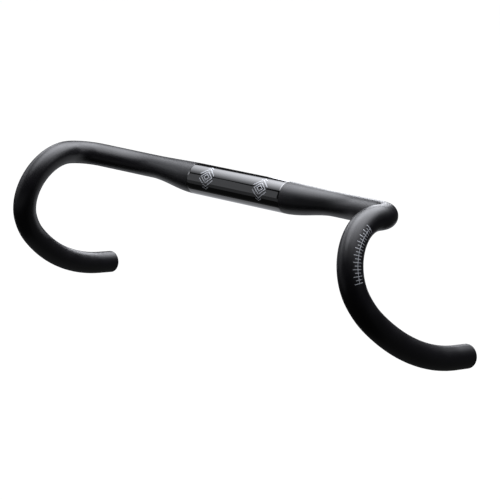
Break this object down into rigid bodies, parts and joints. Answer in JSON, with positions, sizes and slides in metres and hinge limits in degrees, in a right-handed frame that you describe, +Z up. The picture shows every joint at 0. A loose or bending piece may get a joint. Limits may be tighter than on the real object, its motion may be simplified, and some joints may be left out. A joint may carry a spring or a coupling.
{
  "type": "drop handlebar",
  "caption": "Flared compact drop handlebar with a gloss clamp zone, tapered tops, tight corners, round hooks, printed lever scales and expanding end plugs.",
  "frame": {"origin": "centre of the stem clamp zone, on the bar's axis", "axes": "+X to the rider's left, -Y forward (hooks), +Y back to the rider (drop ends), +Z up; the ramps rise 7.5 degrees forward, as posed"},
  "size_m": [0.5032, 0.1612, 0.172],
  "materials": {
    "satin_black": "satin lacquer over moulded composite",
    "gloss_black": "high gloss lacquer",
    "bond_sleeve": "bare composite, hidden",
    "print": "pale grey transfer print",
    "cap_plastic": "fine moulded texture",
    "expander_rubber": "matt",
    "nut_alloy": "turned",
    "screw_steel": "black oxide worn to grey",
    "washer_steel": "zinc plated"
  },
  "bodies": {
    "bar": {"centre_section": "satin_black", "clamp_band": "gloss_black", "left_drop": "satin_black", "left_joint_sleeve": "bond_sleeve", "left_band_mark": "print", "left_lever_scale": "print", "right_drop": "satin_black", "right_joint_sleeve": "bond_sleeve", "right_band_mark": "print", "right_lever_scale": "print"},
    "left_plug": {"left_plug_cap": "cap_plastic", "left_plug_washer": "washer_steel", "left_plug_expander": "expander_rubber"},
    "left_plug_screw": {"left_plug_screw": "screw_steel"},
    "left_plug_nut": {"left_plug_nut": "nut_alloy"},
    "right_plug": {"right_plug_cap": "cap_plastic", "right_plug_washer": "washer_steel", "right_plug_expander": "expander_rubber"},
    "right_plug_screw": {"right_plug_screw": "screw_steel"},
    "right_plug_nut": {"right_plug_nut": "nut_alloy"}
  },
  "joints": [
    {"name": "left_plug_pull", "type": "slide", "parent": "bar", "child": "left_plug", "axis": [0.0456, 0.9833, -0.1764], "range_m": [0, 0.04]},
    {"name": "left_screw_turn", "type": "hinge", "parent": "left_plug", "child": "left_plug_screw", "pos_m": [0.23968, 0.04785, -0.13401], "axis": [0.0456, 0.9833, -0.1764], "range_deg": [0, 1080]},
    {"name": "left_nut_travel", "type": "slide", "parent": "left_plug", "child": "left_plug_nut", "axis": [-0.0456, -0.9833, 0.1764], "range_m": [0, 0.0024]},
    {"name": "right_plug_pull", "type": "slide", "parent": "bar", "child": "right_plug", "axis": [-0.0456, 0.9833, -0.1764], "range_m": [0, 0.04]},
    {"name": "right_screw_turn", "type": "hinge", "parent": "right_plug", "child": "right_plug_screw", "pos_m": [-0.23968, 0.04785, -0.13401], "axis": [-0.0456, 0.9833, -0.1764], "range_deg": [0, 1080]},
    {"name": "right_nut_travel", "type": "slide", "parent": "right_plug", "child": "right_plug_nut", "axis": [0.0456, -0.9833, 0.1764], "range_m": [0, 0.0024]}
  ],
  "couplings": [
    {"joint": "left_screw_turn", "follows": "left_nut_travel", "rad_per_m": 7853.9},
    {"joint": "right_screw_turn", "follows": "right_nut_travel", "rad_per_m": 7853.9}
  ]
}
